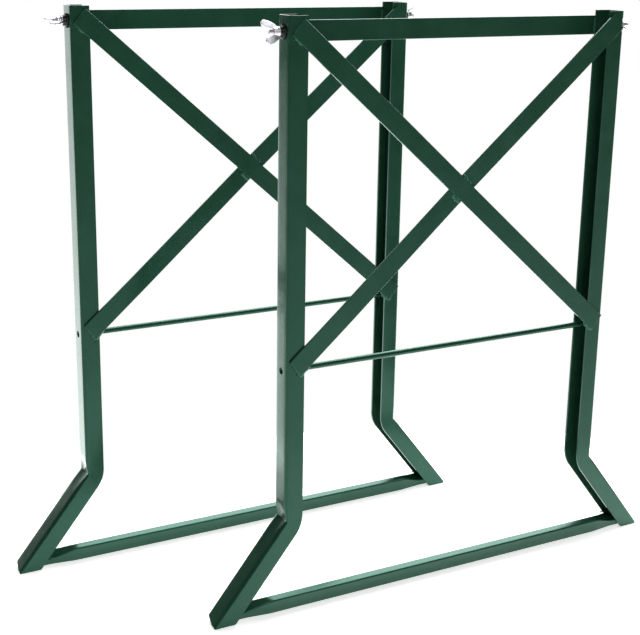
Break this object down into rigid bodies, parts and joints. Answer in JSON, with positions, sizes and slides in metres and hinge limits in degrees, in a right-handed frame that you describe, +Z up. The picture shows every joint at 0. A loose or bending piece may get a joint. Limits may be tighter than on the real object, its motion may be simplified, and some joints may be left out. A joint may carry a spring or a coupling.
{
  "type": "folding sawhorse",
  "caption": "Pair of welded steel-channel trestle frames with splayed feet, crossed flat braces and wing-nut fold pivots near the top corners.",
  "frame": {"origin": "centre of the base of the pair's bounding box, on the floor", "axes": "+X across the frames to their right, +Y from the front frame to the rear one, +Z up"},
  "size_m": [0.8712, 0.296, 0.757],
  "materials": {
    "green_paint": "semi-gloss dark green enamel on pressed steel",
    "black_washer": "matt black moulded disc",
    "zinc": "bright zinc plate"
  },
  "bodies": {
    "front_frame": {"front_left_upright": "green_paint", "front_right_upright": "green_paint", "front_top_bar": "green_paint", "front_bottom_bar": "green_paint", "front_mid_rod": "green_paint", "front_straight_brace": "green_paint", "front_joggled_brace": "green_paint"},
    "front_left_bolt": {"front_left_bolt": "zinc", "front_left_washer": "black_washer"},
    "front_left_wing_nut": {"front_left_wing_nut": "zinc"},
    "front_right_bolt": {"front_right_bolt": "zinc", "front_right_washer": "black_washer"},
    "front_right_wing_nut": {"front_right_wing_nut": "zinc"},
    "rear_frame": {"rear_left_upright": "green_paint", "rear_right_upright": "green_paint", "rear_top_bar": "green_paint", "rear_bottom_bar": "green_paint", "rear_mid_rod": "green_paint", "rear_straight_brace": "green_paint", "rear_joggled_brace": "green_paint"},
    "rear_left_bolt": {"rear_left_bolt": "zinc", "rear_left_washer": "black_washer"},
    "rear_left_wing_nut": {"rear_left_wing_nut": "zinc"},
    "rear_right_bolt": {"rear_right_bolt": "zinc", "rear_right_washer": "black_washer"},
    "rear_right_wing_nut": {"rear_right_wing_nut": "zinc"}
  },
  "joints": [
    {"name": "rear_spacing", "type": "slide", "parent": "front_frame", "child": "rear_left_bolt", "axis": [0, 1, 0], "range_m": [0, 0.4]},
    {"name": "rear_fold", "type": "hinge", "parent": "rear_left_bolt", "child": "rear_frame", "pos_m": [-0.336, 0.13, 0.738], "axis": [1, 0, 0], "range_deg": [-15, 90]},
    {"name": "rear_right_pivot", "type": "hinge", "parent": "rear_frame", "child": "rear_right_bolt", "pos_m": [0.164, 0.13, 0.738], "axis": [1, 0, 0], "range_deg": [-90, 15]},
    {"name": "front_left_pivot", "type": "hinge", "parent": "front_frame", "child": "front_left_bolt", "pos_m": [-0.164, -0.13, 0.738], "axis": [1, 0, 0], "range_deg": [-90, 15]},
    {"name": "front_right_pivot", "type": "hinge", "parent": "front_frame", "child": "front_right_bolt", "pos_m": [0.336, -0.13, 0.738], "axis": [1, 0, 0], "range_deg": [-90, 15]},
    {"name": "front_left_nut_spin", "type": "hinge", "parent": "front_left_bolt", "child": "front_left_wing_nut", "pos_m": [-0.164, -0.13, 0.738], "axis": [1, 0, 0], "continuous": true},
    {"name": "front_right_nut_spin", "type": "hinge", "parent": "front_right_bolt", "child": "front_right_wing_nut", "pos_m": [0.336, -0.13, 0.738], "axis": [1, 0, 0], "continuous": true},
    {"name": "rear_left_nut_spin", "type": "hinge", "parent": "rear_left_bolt", "child": "rear_left_wing_nut", "pos_m": [-0.336, 0.13, 0.738], "axis": [1, 0, 0], "continuous": true},
    {"name": "rear_right_nut_spin", "type": "hinge", "parent": "rear_right_bolt", "child": "rear_right_wing_nut", "pos_m": [0.164, 0.13, 0.738], "axis": [1, 0, 0], "continuous": true}
  ],
  "couplings": [
    {"joint": "rear_right_pivot", "follows": "rear_fold", "ratio": -1},
    {"joint": "front_right_pivot", "follows": "front_left_pivot", "ratio": 1}
  ]
}
